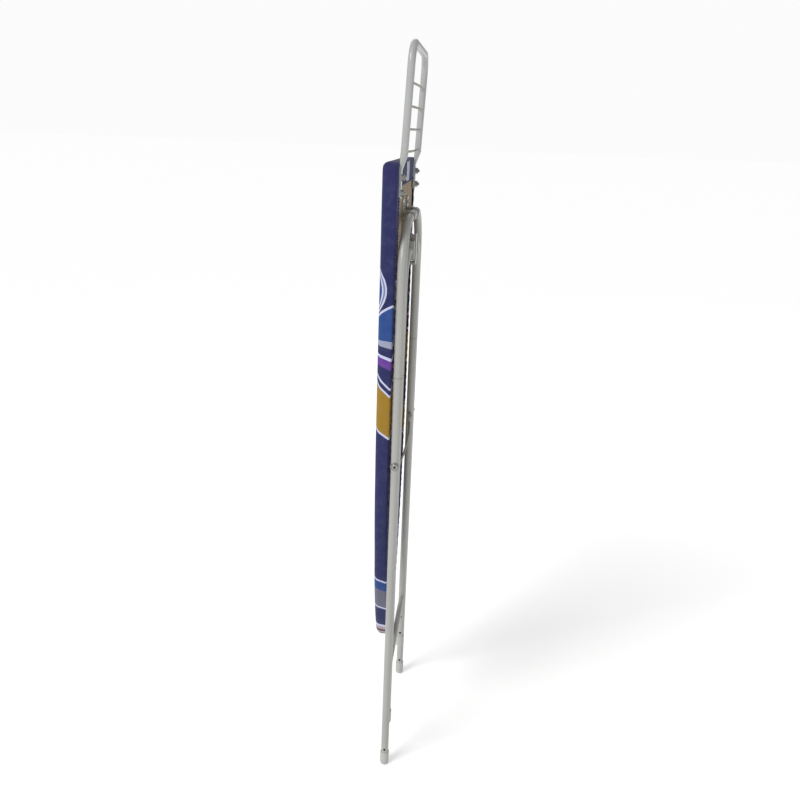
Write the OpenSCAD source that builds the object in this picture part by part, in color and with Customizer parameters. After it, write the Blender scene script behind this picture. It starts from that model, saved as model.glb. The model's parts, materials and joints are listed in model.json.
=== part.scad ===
// Folding ironing board, folded flat and standing on its outer feet.
// +Z runs up along the board from the feet to the iron rest, Y across the board,
// and X through its thickness: the ironing face looks to -X, the legs lie at +X.
// The origin is at the bottom centre of the folded board. Left is -Y, right is +Y.

/* [Board] */
// Length of the ironing surface, from the square end to the nose tip
board_len = 1030; // [850:2:1250]
// Width of the wooden panel
board_w = 296; // [280:2:400]
// Length of the full-width stretch, measured from the square end
straight_len = 370; // [250:5:450]
// Fullness of the taper: 2 gives an ellipse, less gives a slimmer nose
taper_power = 1.95; // [1.6:0.05:2.4]
// Radius of the panel's two corners at the square end
corner_r = 14; // [10:1:50]
// Thickness of the wooden panel
panel_t = 14; // [11:1:20]
// Thickness of the foam pad
pad_t = 8; // [4:1:12]
// Thickness of the fabric cover
cover_t = 2; // [1:0.5:3]
// Width of the cover's hem under the long edges
hem_w = 16; // [8:1:20]
// Depth of the cover's flap under the square end
flap_w = 38; // [25:1:60]

/* [Leg frames] */
// Outside diameter of the leg tubes
leg_d = 15.9; // [12:0.1:19]
// Wall of the leg tubes
leg_wall = 1.2; // [0.8:0.1:2]
// Distance between the outer legs, centre to centre
outer_span = 296; // [270:1:400]
// Side gap between an outer and an inner leg
frame_gap = 2.1; // [2:0.1:4]
// Distance from the underside of the panel to the axis of both top bars
bar_off = 15; // [13:0.5:22]
// Distance from the panel's square end to the outer frame's hinge axis
hinge_inset = 96; // [90:1:140]
// Outer leg length from the hinge axis to the scissor pivot
outer_top = 447; // [400:1:520]
// Outer leg length from the scissor pivot to the floor
outer_low = 728; // [650:1:850]
// Distance between the two top bars when the board is folded
fold_gap = 60; // [54:1:80]
// Radius of the outer frame's upper bends
outer_bend_r = 88; // [70:1:100]
// Radius of the inner frame's upper bends
inner_bend_r = 70; // [55:1:75]
// Distance from the hinge axis down to the seam between arch and lower tubes
seam_drop = 273; // [220:1:330]
// Length of the spigot that joins a lower tube to the arch
spigot_len = 40; // [25:1:60]
// Angle that the outer legs open to
open_angle = 46; // [35:1:50]

/* [Braces and feet] */
// Diameter of the cross brace between the inner legs
brace_d = 12.7; // [10:0.1:15]
// Height of the cross brace above the inner feet
brace_up = 147; // [110:1:220]
// Diameter of the bowed stay wire
stay_d = 4.5; // [3:0.1:6]
// Distance of the stay wire below the scissor pivot
stay_drop = 20; // [16:1:60]
// Bow of the stay wire, away from the panel
stay_bow = 7; // [3:1:12]
// Wall of the foot caps, round the leg tube
cap_wall = 1.49; // [0.9:0.01:1.99]
// Length of a foot cap
cap_len = 34; // [25:1:50]
// Thickness of a cap's closed end
cap_end = 4; // [3:0.5:8]
// Diameter of the peg hole near each foot
peg_d = 5.6; // [3:0.1:6]
// Distance of the peg hole above the cap
peg_up = 9; // [6:1:20]
// Distance between the two peg holes of the right inner leg
peg_step = 48; // [30:1:80]

/* [Iron rest] */
// Outside diameter of the rest's tube
rest_d = 12.7; // [10:0.1:15]
// Wall of the rest's tube
rest_wall = 1; // [0.8:0.1:1.5]
// Distance between the rest's rails, centre to centre
rest_span = 250; // [220:1:260]
// How far the rest stands beyond the square end
rest_reach = 185; // [150:1:240]
// Outside radius of the rest's two corners, at the tube's centre line
rest_corner_r = 34; // [24:1:60]
// Angle by which the rest leans away from the ironing face
rest_droop = 2.6; // [0:0.1:5]
// Length of the flattened tab under the board
tab_len = 59; // [50:1:80]
// Width of the flattened tab
tab_w = 17; // [15:1:20]
// Thickness of the flattened tab
tab_t = 4; // [3:0.5:5]
// Distance between the two bolts of a tab
bolt_pitch = 25; // [20:1:30]
// Distance of the first bolt from the square end
bolt_first = 24; // [20:1:30]
// Diameter of the rest bolts
bolt_d = 6; // [5:0.5:8]
// Distance of the first cross wire beyond the square end
wire_first = 17; // [12:0.5:25]
// Distance between cross wires
wire_pitch = 36; // [25:0.5:38]
// Diameter of a cross wire
wire_d = 4; // [3:0.1:5]
// Bow of the cross wires, away from the ironing face
wire_bow = 5; // [2:0.5:10]

/* [Hinge and height lock] */
// Distance between the two hinge straps, centre to centre
strap_span = 72; // [50:1:90]
// Width of a hinge strap
strap_w = 22; // [14:1:26]
// Thickness of the strap's sheet
strap_t = 2; // [1.5:0.1:3]
// Length of each flange of a strap
strap_flange = 20; // [16:1:26]
// Radial clearance of a shaft in its bore
fit_gap = 0.06; // [0.03:0.01:0.1]
// Clearance between pieces that slide past each other
slide_gap = 0.5; // [0.3:0.1:1]
// Distance between the slide shoes, centre to centre
shoe_span = 88; // [84:1:94]
// Width of a slide shoe
shoe_w = 14; // [12:1:20]
// Length of a slide shoe
shoe_len = 34; // [26:1:36]
// Thickness and width of the shoe's foot, held under the rail's lip
shoe_foot = 2; // [1.5:0.5:2.5]
// Thickness of the rail's sheet
rail_t = 1.2; // [1:0.1:1.5]
// Width of the height rack
rack_w = 28; // [22:1:32]
// Thickness of the height rack's sheet
rack_t = 1.5; // [1:0.1:2]
// Number of height slots
rack_slots = 7; // [3:1:9]
// Distance between height slots
rack_pitch = 26; // [22:1:30]
// Width of the release lever
lever_w = 20; // [12:1:24]
// Thickness of the release lever's sheet
lever_t = 2; // [1.5:0.1:3]
// Distance from the carriage's bar down to the lever's tooth
lever_reach = 30; // [26:1:40]
// Diameter of the strap and rail screws
screw_d = 4; // [3:0.5:5]

/* [Hidden] */
$fn = 48;
arc_fn = 720; // for arcs that are only a few degrees of a large circle
eps = 0.01;

// Heights of the main points, with the board folded.
pivot_z = outer_low;
hinge_z = outer_low + outer_top;
carriage_z = hinge_z - fold_gap;
end_z = hinge_z + hinge_inset;
nose_z = end_z - board_len;
inner_top = outer_top - fold_gap;
inner_low = outer_low * inner_top / outer_top;
inner_foot_z = pivot_z - inner_low;
brace_z = inner_foot_z + brace_up;
stay_z = pivot_z - stay_drop;

// Travel of the carriage that brings both frames' feet to one level.
travel = outer_top * cos(open_angle) - fold_gap
       + sqrt(pow(inner_top, 2) - pow(outer_top * sin(open_angle), 2));

// Distances through the thickness.
leg_r = leg_d / 2;
cap_r = leg_r + fit_gap + cap_wall;
lever_hub_r = leg_r + fit_gap + lever_t;
inner_span = outer_span - 2 * (leg_d + frame_gap);
rest_axis_off = cover_t + rest_d / 2;
rest_out = rest_axis_off + rest_reach * sin(rest_droop) + rest_d / 2;
shoe_out = bar_off + leg_r + 2;
out_off = max(bar_off + cap_r, rest_out, shoe_out, bar_off + lever_hub_r);
depth_all = cover_t + pad_t + panel_t + out_off;
face_x = -depth_all / 2;
pad_x = face_x + cover_t;
panel_x = pad_x + pad_t;
under_x = panel_x + panel_t;
bar_x = under_x + bar_off;

// Slots of the rack start where the lever meets them with the legs open.
rack_low = carriage_z - travel - lever_reach - rack_pitch;
rail_low = carriage_z - travel - shoe_len / 2 - 8;
rail_high = carriage_z + shoe_len / 2 + 2;

// Screws, bolts and nuts.
screw_r = screw_d / 2;
screw_hole_r = screw_r + fit_gap;
screw_head_r = screw_r * 1.9;
screw_head_t = 2;
screw_bite = 9;
strip_end = 8; // from a strip's end to its last screw
bolt_hole_r = bolt_d / 2 + fit_gap;
bolt_head_t = 2.5;
bolt_head_r = bolt_d;
nut_r = bolt_d * 0.95;
nut_t = 5;
thread_end = 3; // how far a bolt stands out of its nut
pivot_head_r = 6.5;
pivot_head_h = 3;
pivot_nut_t = 5;
spacer_t = frame_gap - 0.7;

// The rack's screws stay clear of the lever at both ends of its travel.
rack_screw_z = [rack_low + strip_end, carriage_z + lever_hub_r + screw_head_r + 2 * slide_gap];
rack_high = rack_screw_z[1] + strip_end;
strap_r = leg_r + fit_gap;
strap_screw_off = strap_r + strap_t + strap_flange / 2;
inner_seam_drop = seam_drop - fold_gap;

// Guide rails and carriage. The tie lies between the bar and the panel, clear of the lever.
lip_w = shoe_foot - slide_gap;
rail_rise = shoe_foot + 2 * slide_gap;
rail_base_w = 14;
rail_in_y = shoe_span / 2 + shoe_w / 2 + slide_gap;
rail_out_y = rail_in_y + shoe_foot;
rail_screw_y = rail_out_y + rail_t + slide_gap + rail_base_w / 2;
rail_screw_n = 4;
rail_screw_end = 20;
tie_t = 1.5;
tie_w = 8;
tie_x = bar_x - tie_w / 2 - lever_t;
rivet_r = 1.5;
rivet_len = 5;
weld_bite = 1;

// One side of the outline from the square end to the nose, as [y, z] grown by a margin:
// a rounded corner, a straight edge, and a taper whose points crowd towards the nose.
taper_steps = 28;
corner_steps = 8;
function side_points(grow) =
    let (half = board_w / 2 + grow,
         turn = corner_r + grow,
         taper_len = board_len - straight_len)
    concat(
        [for (i = [0 : corner_steps])
            let (a = 90 * i / corner_steps)
            [half - turn + turn * sin(a), grow - turn + turn * cos(a)]],
        [for (i = [0 : taper_steps - 1])
            let (s = sin(90 * i / taper_steps))
            [half * pow(1 - pow(s, taper_power), 1 / taper_power),
             -straight_len - (taper_len + grow) * s]],
        [[0, -board_len - grow]]);

// Outline of the board, as [y, z] from the middle of the square end.
module board_outline(grow = 0) {
    right = side_points(grow);
    left = [for (i = [len(right) - 2 : -1 : 0]) [-right[i][0], right[i][1]]];
    polygon(concat(right, left));
}

// A slab of the board's outline, from x over a thickness.
module board_slab(x, thick, grow = 0) {
    translate([x, 0, end_z]) rotate([90, 0, 90])
        linear_extrude(height = thick) board_outline(grow);
}

// A cylinder along +X from a point on the underside's side of the board.
module rod_x(x, y, z, len, r) {
    translate([x, y, z]) rotate([0, 90, 0]) cylinder(r = r, h = len);
}

// A cylinder along Y, centred on a point.
module rod_y(x, y, z, len, r) {
    translate([x, y, z]) rotate([90, 0, 0]) cylinder(r = r, h = len, center = true);
}

// A solid hairpin in the Y-Z plane: a bar on top, two bends and two legs going down.
module hairpin(span, bend_r, drop, r) {
    flat = span - 2 * bend_r;
    rod_y(0, 0, 0, flat, r);
    for (side = [0, 1]) mirror([0, side, 0]) {
        translate([0, flat / 2, -bend_r]) rotate([90, 0, 90])
            rotate_extrude(angle = 90) translate([bend_r, 0]) circle(r = r);
        translate([0, span / 2, -drop]) cylinder(r = r, h = drop - bend_r);
    }
}

// A wire bowed towards +X between two points at y = -half and y = half.
module bowed_wire(half, bow, r) {
    arc_r = (half * half + bow * bow) / (2 * bow);
    sweep = 2 * asin(half / arc_r);
    translate([bow - arc_r, 0, 0]) rotate([0, 0, -sweep / 2])
        rotate_extrude(angle = sweep, $fn = arc_fn) translate([arc_r, 0])
            circle(r = r, $fn = 24);
}

// Places its children at the screw points of a hinge strap.
module at_strap_screws(side) {
    for (dir = [-1, 1])
        translate([under_x, side * strap_span / 2, hinge_z + dir * strap_screw_off]) children();
}

// Heights of the rail screws.
function rail_screw_z(i) = rail_low + rail_screw_end
    + i * (rail_high - rail_low - 2 * rail_screw_end) / (rail_screw_n - 1);

// Heights of the rest bolts.
function rest_bolt_z(i) = end_z - bolt_first - i * bolt_pitch;

// A cross-headed screw that goes into the panel along -X.
module pan_screw(bite) {
    cross_w = 0.8;
    crown_r = screw_r * 1.3;
    translate([-bite, 0, 0]) rotate([0, 90, 0]) cylinder(r = screw_r, h = bite);
    difference() {
        rotate([0, 90, 0]) cylinder(r1 = screw_head_r, r2 = crown_r, h = screw_head_t);
        for (turn = [0, 90])
            translate([screw_head_t / 2, 0, 0]) rotate([turn, 0, 0])
                translate([0, -cross_w / 2, -screw_r]) cube([screw_head_t, cross_w, screw_d]);
    }
}

// A blind screw hole in the panel, a little deeper than the screw.
module screw_hole(y, z) {
    rod_x(under_x - screw_bite - 1, y, z, screw_bite + 2, screw_hole_r);
}

// Holes that the panel needs for every screw and bolt.
module panel_holes() {
    for (side = [-1, 1]) {
        for (i = [0, 1])
            rod_x(panel_x - eps, side * rest_span / 2, rest_bolt_z(i), panel_t + 2 * eps,
                  bolt_hole_r);
        for (dir = [-1, 1])
            screw_hole(side * strap_span / 2, hinge_z + dir * strap_screw_off);
        for (i = [0 : rail_screw_n - 1])
            screw_hole(side * rail_screw_y, rail_screw_z(i));
    }
    for (z = rack_screw_z) screw_hole(0, z);
}

// Wooden panel that everything is fixed to.
module board_panel() {
    color([0.55, 0.48, 0.38]) difference() {
        board_slab(panel_x, panel_t);
        panel_holes();
    }
}

// Foam pad over the panel, pocketed for the heads of the rest bolts.
module foam_pad() {
    color([0.86, 0.82, 0.66]) difference() {
        board_slab(pad_x, pad_t);
        for (side = [-1, 1], i = [0, 1])
            rod_x(panel_x - bolt_head_t - slide_gap, side * rest_span / 2, rest_bolt_z(i),
                  bolt_head_t + 1, bolt_head_r + fit_gap);
    }
}

// Fabric cover: a face, a wall round the edge, a hem and the end flap underneath.
module cover() {
    color([0.18, 0.2, 0.42]) difference() {
        board_slab(face_x, cover_t + pad_t + panel_t + cover_t, cover_t);
        board_slab(pad_x, pad_t + panel_t);
        intersection() {
            board_slab(under_x - eps, cover_t + 2 * eps, -hem_w);
            translate([under_x - 1, -board_w, nose_z - board_w])
                cube([cover_t + 2, 2 * board_w, board_len + board_w - flap_w]);
        }
        for (side = [-1, 1], i = [0, 1])
            if (bolt_first + i * bolt_pitch < flap_w + bolt_d)
                rod_x(under_x - eps, side * rest_span / 2, rest_bolt_z(i), cover_t + 2 * eps,
                      bolt_hole_r);
    }
}

// Places its children in the iron rest's own frame: the tube axis at the square end.
module in_rest() {
    translate([under_x + rest_axis_off, 0, end_z]) rotate([0, rest_droop, 0]) children();
}

// Bent tube of the iron rest with its two flattened, bolted tabs.
module iron_rest_frame() {
    rail_from = 12; // from the square end to the round tube's start, both ways
    collar_h = 2;
    swage = 0.3; // the tube bulges a little where it is flattened
    tab_z = end_z - tab_len + tab_w / 2;
    color([0.85, 0.85, 0.84]) difference() {
        union() {
            in_rest() translate([0, 0, rest_reach]) difference() {
                hairpin(rest_span, rest_corner_r, rest_reach - rail_from, rest_d / 2);
                hairpin(rest_span, rest_corner_r, rest_reach - rail_from - 2 * collar_h,
                        rest_d / 2 - rest_wall);
            }
            for (side = [-1, 1]) {
                hull() {
                    in_rest() translate([0, side * rest_span / 2, rail_from + collar_h / 2])
                        cylinder(r = rest_d / 2 + swage, h = collar_h, $fn = 32);
                    translate([under_x + cover_t, side * rest_span / 2 - tab_w / 2,
                               end_z - rail_from])
                        cube([tab_t, tab_w, collar_h]);
                }
                translate([under_x + cover_t, side * rest_span / 2 - tab_w / 2, tab_z])
                    cube([tab_t, tab_w, end_z - rail_from + collar_h / 2 - tab_z]);
                rod_x(under_x + cover_t, side * rest_span / 2, tab_z, tab_t, tab_w / 2);
            }
        }
        for (side = [-1, 1], i = [0, 1])
            rod_x(under_x, side * rest_span / 2, rest_bolt_z(i), cover_t + tab_t + 1,
                  bolt_hole_r);
    }
}

// One bowed cross wire of the rest, its ends sunk into the welds on the rails.
module rest_wire(i) {
    color([0.75, 0.74, 0.7]) in_rest()
        translate([0, 0, wire_first + (i - 1) * wire_pitch])
            bowed_wire(rest_span / 2 - rest_d / 2 + weld_bite, wire_bow, wire_d / 2);
}

// Bolts that hold the rest: flat heads in the foam pad, shanks through the panel.
module rest_bolts() {
    color([0.62, 0.62, 0.6]) for (side = [-1, 1], i = [0, 1]) {
        rod_x(panel_x - bolt_head_t, side * rest_span / 2, rest_bolt_z(i), bolt_head_t,
              bolt_head_r);
        rod_x(panel_x - eps, side * rest_span / 2, rest_bolt_z(i),
              panel_t + cover_t + tab_t + nut_t + thread_end, bolt_d / 2);
    }
}

// Nuts of the rest bolts, clear of the shank by a thread's play.
module rest_nuts() {
    color([0.6, 0.6, 0.58]) for (side = [-1, 1], i = [0, 1]) difference() {
        rod_hex(under_x + cover_t + tab_t, side * rest_span / 2, rest_bolt_z(i), nut_t,
                nut_r);
        rod_x(under_x, side * rest_span / 2, rest_bolt_z(i), 2 * depth_all, bolt_hole_r);
    }
}

// A hexagonal bar along +X.
module rod_hex(x, y, z, len, r) {
    translate([x, y, z]) rotate([0, 90, 0]) cylinder(r = r, h = len, $fn = 6);
}

// Saddle strap that holds the outer frame's top bar under the board.
module hinge_strap(side) {
    outer_r = strap_r + strap_t;
    mouth = bar_off - strap_r * 0.8; // opens the bore towards the panel
    color([0.8, 0.8, 0.79]) translate([0, side * strap_span / 2, 0]) difference() {
        union() {
            rod_y(bar_x, 0, hinge_z, strap_w, outer_r);
            translate([under_x, -strap_w / 2, hinge_z - outer_r])
                cube([bar_off, strap_w, 2 * outer_r]);
            translate([under_x, -strap_w / 2, hinge_z - outer_r - strap_flange])
                cube([strap_t, strap_w, 2 * (outer_r + strap_flange)]);
        }
        rod_y(bar_x, 0, hinge_z, strap_w + 1, strap_r);
        translate([under_x + strap_t, -strap_w / 2 - 1, hinge_z - strap_r + strap_t])
            cube([mouth, strap_w + 2, 2 * (strap_r - strap_t)]);
        for (dir = [-1, 1])
            rod_x(under_x - 1, 0, hinge_z + dir * strap_screw_off, strap_t + 2, screw_hole_r);
    }
}

// Screws of both hinge straps.
module strap_screws() {
    color([0.5, 0.5, 0.48]) for (side = [-1, 1]) at_strap_screws(side)
        translate([strap_t, 0, 0]) pan_screw(strap_t + screw_bite);
}

// Guide rail: a flange on the panel, a step and a lip over the shoe's foot.
module rail(side) {
    color([0.7, 0.7, 0.68]) difference() {
        translate([under_x, 0, rail_low]) mirror([0, side < 0 ? 1 : 0, 0])
            linear_extrude(height = rail_high - rail_low) polygon([
                [0, rail_out_y + slide_gap],
                [rail_rise, rail_out_y + slide_gap],
                [rail_rise, rail_out_y - lip_w],
                [rail_rise + rail_t, rail_out_y - lip_w],
                [rail_rise + rail_t, rail_out_y + slide_gap + rail_t],
                [rail_t, rail_out_y + slide_gap + rail_t],
                [rail_t, rail_out_y + slide_gap + rail_t + rail_base_w],
                [0, rail_out_y + slide_gap + rail_t + rail_base_w]]);
        for (i = [0 : rail_screw_n - 1])
            rod_x(under_x - 1, side * rail_screw_y, rail_screw_z(i), rail_t + 2, screw_hole_r);
    }
}

// Screws of both guide rails.
module rail_screws() {
    color([0.5, 0.5, 0.48]) for (side = [-1, 1], i = [0 : rail_screw_n - 1])
        translate([under_x + rail_t, side * rail_screw_y, rail_screw_z(i)])
            pan_screw(rail_t + screw_bite);
}

// Height rack: a strip with a row of slots at its nose end.
module height_rack() {
    slot_w = lever_w + 4;
    slot_h = 8;
    color([0.72, 0.72, 0.7]) difference() {
        translate([under_x, -rack_w / 2, rack_low])
            cube([rack_t, rack_w, rack_high - rack_low]);
        for (i = [0 : rack_slots - 1])
            translate([under_x - 1, -slot_w / 2, rack_low + rack_pitch * (i + 1) - slot_h / 2])
                cube([rack_t + 2, slot_w, slot_h]);
        for (z = rack_screw_z)
            rod_x(under_x - 1, 0, z, rack_t + 2, screw_hole_r);
    }
}

// Screws of the height rack.
module rack_screws() {
    color([0.5, 0.5, 0.48]) for (z = rack_screw_z)
        translate([under_x + rack_t, 0, z]) pan_screw(rack_t + screw_bite);
}

// Upper arch of the outer frame; its top bar turns in the hinge straps.
module outer_arch() {
    color([0.82, 0.82, 0.8]) translate([bar_x, 0, hinge_z]) difference() {
        hairpin(outer_span, outer_bend_r, seam_drop, leg_r);
        hairpin(outer_span, outer_bend_r, seam_drop + 1, leg_r - leg_wall);
    }
}

// A leg tube from a foot's inside up to a seam, with its spigot.
module leg_tube(y, foot_z, seam_z, peg_steps = [0]) {
    bore_r = leg_r - leg_wall;
    spigot_r = bore_r - fit_gap;
    shoulder = 4;
    translate([bar_x, y, 0]) difference() {
        union() {
            translate([0, 0, foot_z + cap_end])
                cylinder(r = leg_r, h = seam_z - foot_z - cap_end);
            translate([0, 0, seam_z - eps]) cylinder(r = spigot_r, h = spigot_len);
        }
        translate([0, 0, foot_z]) cylinder(r = bore_r, h = seam_z - foot_z - shoulder);
        translate([0, 0, foot_z])
            cylinder(r = spigot_r - leg_wall, h = seam_z + spigot_len);
        rod_y(0, 0, pivot_z, 2 * leg_d, bolt_hole_r);
        for (step = peg_steps)
            rod_y(0, 0, foot_z + cap_len + peg_up + step, 2 * leg_d, peg_d / 2);
    }
}

// Lower tube of the outer frame.
module outer_tube(side) {
    color([0.82, 0.82, 0.8])
        leg_tube(side * outer_span / 2, 0, hinge_z - seam_drop);
}

// Outer half of each scissor pivot: a domed bolt through the outer tube only.
module outer_pivot_bolts() {
    out_y = outer_span / 2 + leg_r;
    rim = 0.8;
    color([0.55, 0.55, 0.53]) for (side = [0, 1]) mirror([0, side, 0])
        translate([bar_x, out_y, pivot_z]) rotate([-90, 0, 0]) {
            translate([0, 0, -leg_d - spacer_t - fit_gap])
                cylinder(r = bolt_d / 2, h = leg_d + spacer_t + fit_gap + 1);
            translate([0, 0, fit_gap]) rotate_extrude() polygon(concat(
                [[0, 0], [pivot_head_r, 0]],
                [for (a = [0 : 15 : 90])
                    [pivot_head_r * cos(a), rim + pivot_head_h * sin(a)]]));
        }
}

// Washers between the outer and inner tubes, on the outer bolts.
module outer_pivot_spacers() {
    color([0.9, 0.9, 0.88]) for (side = [0, 1]) mirror([0, side, 0])
        translate([bar_x, outer_span / 2 - leg_r - fit_gap, pivot_z]) rotate([90, 0, 0])
            difference() {
                cylinder(r = leg_r - 1, h = spacer_t);
                translate([0, 0, -1]) cylinder(r = bolt_hole_r, h = spacer_t + 2);
            }
}

// Slip-on foot cap with a rounded end.
module foot_cap(y, foot_z) {
    round_r = 5;
    lip = 1;
    lip_wall = 0.6;
    color([0.86, 0.86, 0.85]) translate([bar_x, y, foot_z]) difference() {
        rotate_extrude() polygon(concat(
            [[0, 0]],
            [for (a = [0 : 15 : 90])
                [cap_r - round_r + round_r * sin(a), round_r - round_r * cos(a)]],
            [[cap_r, cap_len - lip], [leg_r + lip_wall, cap_len], [0, cap_len]]));
        translate([0, 0, cap_end]) cylinder(r = leg_r + fit_gap, h = cap_len);
    }
}

// Upper arch of the inner frame; its top bar turns in the slide shoes.
module inner_arch() {
    color([0.78, 0.78, 0.76]) translate([bar_x, 0, carriage_z]) difference() {
        hairpin(inner_span, inner_bend_r, inner_seam_drop, leg_r);
        hairpin(inner_span, inner_bend_r, inner_seam_drop + 1, leg_r - leg_wall);
    }
}

// Lower tube of the inner frame; the right one has a second peg hole.
module inner_tube(side) {
    color([0.78, 0.78, 0.76])
        leg_tube(side * inner_span / 2, inner_foot_z, carriage_z - inner_seam_drop,
                 side > 0 ? [0, peg_step] : [0]);
}

// Inner half of each scissor pivot: a stub through the inner tube, and its nut.
module inner_pivot_nuts() {
    in_y = inner_span / 2 - leg_r;
    color([0.55, 0.55, 0.53]) for (side = [0, 1]) mirror([0, side, 0])
        translate([bar_x, in_y, pivot_z]) rotate([90, 0, 0]) {
            translate([0, 0, -leg_d]) cylinder(r = bolt_d / 2, h = leg_d + pivot_nut_t + 2);
            translate([0, 0, fit_gap]) cylinder(r = bolt_d, h = pivot_nut_t, $fn = 6);
        }
}

// Cross brace between the inner legs, its ends shaped to the tubes.
module inner_brace() {
    color([0.8, 0.8, 0.78]) difference() {
        rod_y(bar_x, 0, brace_z, inner_span, brace_d / 2);
        rod_y(bar_x, 0, brace_z, inner_span + 1, brace_d / 2 - rest_wall);
        for (side = [-1, 1]) translate([bar_x, side * inner_span / 2, brace_z - brace_d])
            cylinder(r = leg_r + fit_gap / 2, h = 2 * brace_d);
    }
}

// Bowed stay wire between the inner legs, just below the scissor pivots.
module inner_stay_wire() {
    color([0.7, 0.7, 0.68]) difference() {
        translate([bar_x, 0, stay_z]) bowed_wire(inner_span / 2, stay_bow, stay_d / 2);
        for (side = [-1, 1]) translate([bar_x, side * inner_span / 2, stay_z - stay_d])
            cylinder(r = leg_r + fit_gap / 2, h = 2 * stay_d);
    }
}

// Places its children at a rivet of the carriage: on the shoe's upper end.
module at_rivets() {
    for (side = [-1, 1], dir = [-1, 1])
        translate([tie_x, side * shoe_span / 2 + dir * shoe_w / 4,
                   carriage_z + shoe_len / 2]) children();
}

// Moulded shoe: a block round the top bar, with a foot that runs under the rail's lip.
module slide_shoe(side) {
    color([0.8, 0.8, 0.78]) difference() {
        union() {
            translate([under_x + slide_gap, side * shoe_span / 2 - shoe_w / 2,
                       carriage_z - shoe_len / 2])
                cube([shoe_out - slide_gap, shoe_w, shoe_len]);
            translate([under_x + slide_gap, side * (rail_in_y - slide_gap) - shoe_foot,
                       carriage_z - shoe_len / 2])
                cube([shoe_foot, 2 * shoe_foot, shoe_len]);
        }
        rod_y(bar_x, side * shoe_span / 2, carriage_z, 2 * shoe_w, leg_r + fit_gap);
        at_rivets() translate([0, 0, -rivet_len])
            cylinder(r = rivet_r + fit_gap, h = 2 * rivet_len);
    }
}

// Strip across the shoes' upper ends, which keeps them the right distance apart.
module carriage_tie() {
    half_y = shoe_span / 2 + shoe_w / 2;
    color([0.7, 0.7, 0.68]) difference() {
        translate([tie_x - tie_w / 2, -half_y, carriage_z + shoe_len / 2])
            cube([tie_w, 2 * half_y, tie_t]);
        at_rivets() translate([0, 0, -1]) cylinder(r = rivet_r + fit_gap, h = tie_t + 2);
    }
}

// Rivets that hold the strip on the shoes.
module carriage_rivets() {
    color([0.6, 0.6, 0.58]) at_rivets() {
        translate([0, 0, -rivet_len + fit_gap])
            cylinder(r = rivet_r, h = rivet_len + tie_t);
        translate([0, 0, tie_t]) cylinder(r = rivet_r * 1.7, h = 1);
    }
}

// Release lever: a hub that turns on the carriage's bar, an arm with a tooth over the
// rack, and a finger tab on the far side of the hub.
module release_lever() {
    tooth_h = 4;
    tab_len_up = 16;
    tip_x = under_x + rack_t + slide_gap;
    arm_x = bar_x + lever_hub_r - lever_t;
    color([0.66, 0.66, 0.65]) difference() {
        union() {
            rod_y(bar_x, 0, carriage_z, lever_w, lever_hub_r);
            translate([arm_x, -lever_w / 2, carriage_z - lever_reach - tooth_h / 2])
                cube([lever_t, lever_w, lever_reach + tooth_h / 2]);
            translate([tip_x, -lever_w / 2, carriage_z - lever_reach - tooth_h / 2])
                cube([arm_x - tip_x + eps, lever_w, tooth_h]);
            translate([arm_x, -lever_w / 2, carriage_z])
                cube([lever_t, lever_w, lever_hub_r + tab_len_up]);
        }
        rod_y(bar_x, 0, carriage_z, lever_w + 1, leg_r + fit_gap);
    }
}

// Torsion spring round the bar beside the lever, drawn as closed coils.
module lever_spring() {
    spring_wire = 1.2;
    coils = 6;
    coil_r = leg_r + 3 * fit_gap + spring_wire / 2;
    first_y = lever_w / 2 + slide_gap + spring_wire;
    color([0.5, 0.5, 0.5]) for (i = [0 : coils - 1])
        translate([bar_x, first_y + i * (spring_wire + fit_gap), carriage_z])
            rotate([90, 0, 0]) rotate_extrude() translate([coil_r, 0])
                circle(r = spring_wire / 2, $fn = 16);
}

board_panel();
foam_pad();
cover();
iron_rest_frame();
rest_wire(1);  // rest_wire_1
rest_wire(2);  // rest_wire_2
rest_wire(3);  // rest_wire_3
rest_wire(4);  // rest_wire_4
rest_bolts();
rest_nuts();
hinge_strap(-1);  // hinge_strap_left
hinge_strap(1);  // hinge_strap_right
strap_screws();
rail(-1);  // rail_left
rail(1);  // rail_right
rail_screws();
height_rack();
rack_screws();
outer_arch();
outer_tube(-1);  // outer_tube_left
outer_tube(1);  // outer_tube_right
outer_pivot_bolts();
outer_pivot_spacers();
foot_cap(-outer_span / 2, 0);  // outer_foot_left
foot_cap(outer_span / 2, 0);  // outer_foot_right
inner_arch();
inner_tube(-1);  // inner_tube_left
inner_tube(1);  // inner_tube_right
inner_pivot_nuts();
inner_brace();
inner_stay_wire();
foot_cap(-inner_span / 2, inner_foot_z);  // inner_foot_left
foot_cap(inner_span / 2, inner_foot_z);  // inner_foot_right
slide_shoe(-1);  // slide_shoe_left
slide_shoe(1);  // slide_shoe_right
carriage_tie();
carriage_rivets();
release_lever();
lever_spring();
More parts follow.
